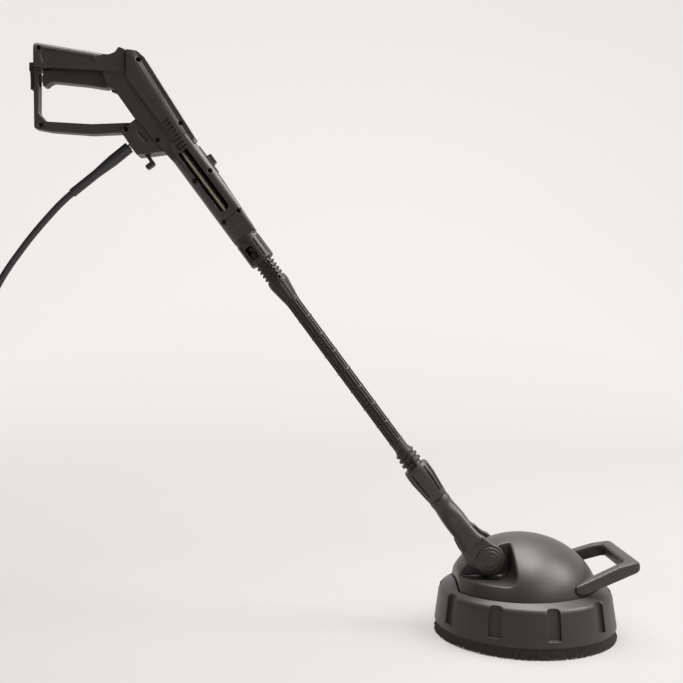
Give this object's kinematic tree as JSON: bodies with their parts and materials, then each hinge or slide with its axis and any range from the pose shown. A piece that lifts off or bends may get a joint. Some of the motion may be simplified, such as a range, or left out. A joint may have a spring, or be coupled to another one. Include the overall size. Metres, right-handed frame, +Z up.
{
  "type": "surface cleaner",
  "caption": "Round spray head with a brush skirt and spinning spray bar, hinged on a fork arm to a fluted lance with a trigger gun and hose, for washing hard floors",
  "frame": {"origin": "On the floor under the middle of the machine's box, measured without the hose. The brush ring stands on the floor at z = 0.", "axes": "+X points the way the head faces, from the grip to the front handle. +Z is up. The machine is symmetrical about the plane Y = 0, apart from its screws, windows and stored hose, and -Y is the side with the screw wells."},
  "size_m": [1.1086, 0.2969, 0.8233],
  "materials": {
    "charcoal_plastic": "satin moulded",
    "dark_plastic": "moulded",
    "bristle": "nylon filament",
    "black_rubber": "smooth",
    "brass": "drawn and turned",
    "steel": "turned"
  },
  "bodies": {
    "head": {"skirt_housing": "charcoal_plastic", "dome_cover": "charcoal_plastic", "dome_screws": "steel", "front_handle": "charcoal_plastic", "brush_carrier": "charcoal_plastic", "brush_strip_1": "bristle", "brush_strip_2": "bristle", "brush_strip_3": "bristle", "brush_strip_4": "bristle", "brush_strip_5": "bristle", "spindle_bush": "brass", "swivel_block": "dark_plastic", "spindle_seal": "black_rubber"},
    "rotor": {"spindle": "steel", "spindle_circlip": "steel", "spray_bar": "steel", "bar_plugs": "dark_plastic", "nozzle_left": "brass", "nozzle_right": "brass"},
    "wand": {"fork_arm": "charcoal_plastic", "pivot_pin_left": "steel", "pivot_pin_right": "steel", "pivot_seals": "black_rubber", "pivot_cap_left": "charcoal_plastic", "pivot_cap_right": "charcoal_plastic", "arm_socket": "charcoal_plastic", "lance_foot": "charcoal_plastic", "foot_seal": "black_rubber", "lance_tube": "charcoal_plastic", "lance_head": "charcoal_plastic", "head_seal": "black_rubber", "gun_collar": "charcoal_plastic", "gun_shell_near": "charcoal_plastic", "gun_shell_far": "charcoal_plastic", "shell_screws": "steel", "delivery_pipe": "brass", "valve_body": "brass", "trigger_pin": "steel", "trigger_spring": "steel", "inlet_nipple": "brass", "hose_sleeve": "black_rubber", "hose_lead": "black_rubber", "hose_coil": "black_rubber", "hose_tie": "dark_plastic", "hose_ferrule": "steel", "hose_plug": "brass"},
    "trigger": {"trigger": "charcoal_plastic"},
    "valve_pin": {"valve_pin": "steel"},
    "rear_catch": {"rear_catch": "charcoal_plastic"},
    "barrel_slide": {"barrel_slide": "charcoal_plastic"},
    "hose_clip": {"hose_clip": "charcoal_plastic"}
  },
  "joints": [
    {"name": "wand_tilt", "type": "hinge", "parent": "head", "child": "wand", "pos_m": [0.21847, 0, 0.109], "axis": [0, 1, 0], "range_deg": [-30, 36]},
    {"name": "rotor_spin", "type": "hinge", "parent": "head", "child": "rotor", "pos_m": [0.27447, 0, 0.06], "axis": [0, 0, 1], "continuous": true},
    {"name": "trigger_pull", "type": "hinge", "parent": "wand", "child": "trigger", "pos_m": [-0.30397, 0, 0.76949], "axis": [0, 1, 0], "range_deg": [0, 8], "stiffness_Nm_per_rad": 4, "springref_deg": -5.73, "deforming": ["trigger_spring"]},
    {"name": "valve_push", "type": "slide", "parent": "wand", "child": "valve_pin", "axis": [0.5948, 0, -0.8039], "range_m": [0, 0.0032]},
    {"name": "catch_slide", "type": "slide", "parent": "wand", "child": "rear_catch", "axis": [0, 0, 1], "range_m": [-0.006, 0]},
    {"name": "barrel_slide_move", "type": "slide", "parent": "wand", "child": "barrel_slide", "axis": [-0.5948, 0, 0.8039], "range_m": [-0.006, 0.006]},
    {"name": "clip_pull", "type": "slide", "parent": "wand", "child": "hose_clip", "axis": [0.5948, 0, -0.8039], "range_m": [0, 0.008]}
  ],
  "couplings": [
    {"joint": "valve_push", "follows": "trigger_pull", "m_per_rad": 0.022}
  ]
}
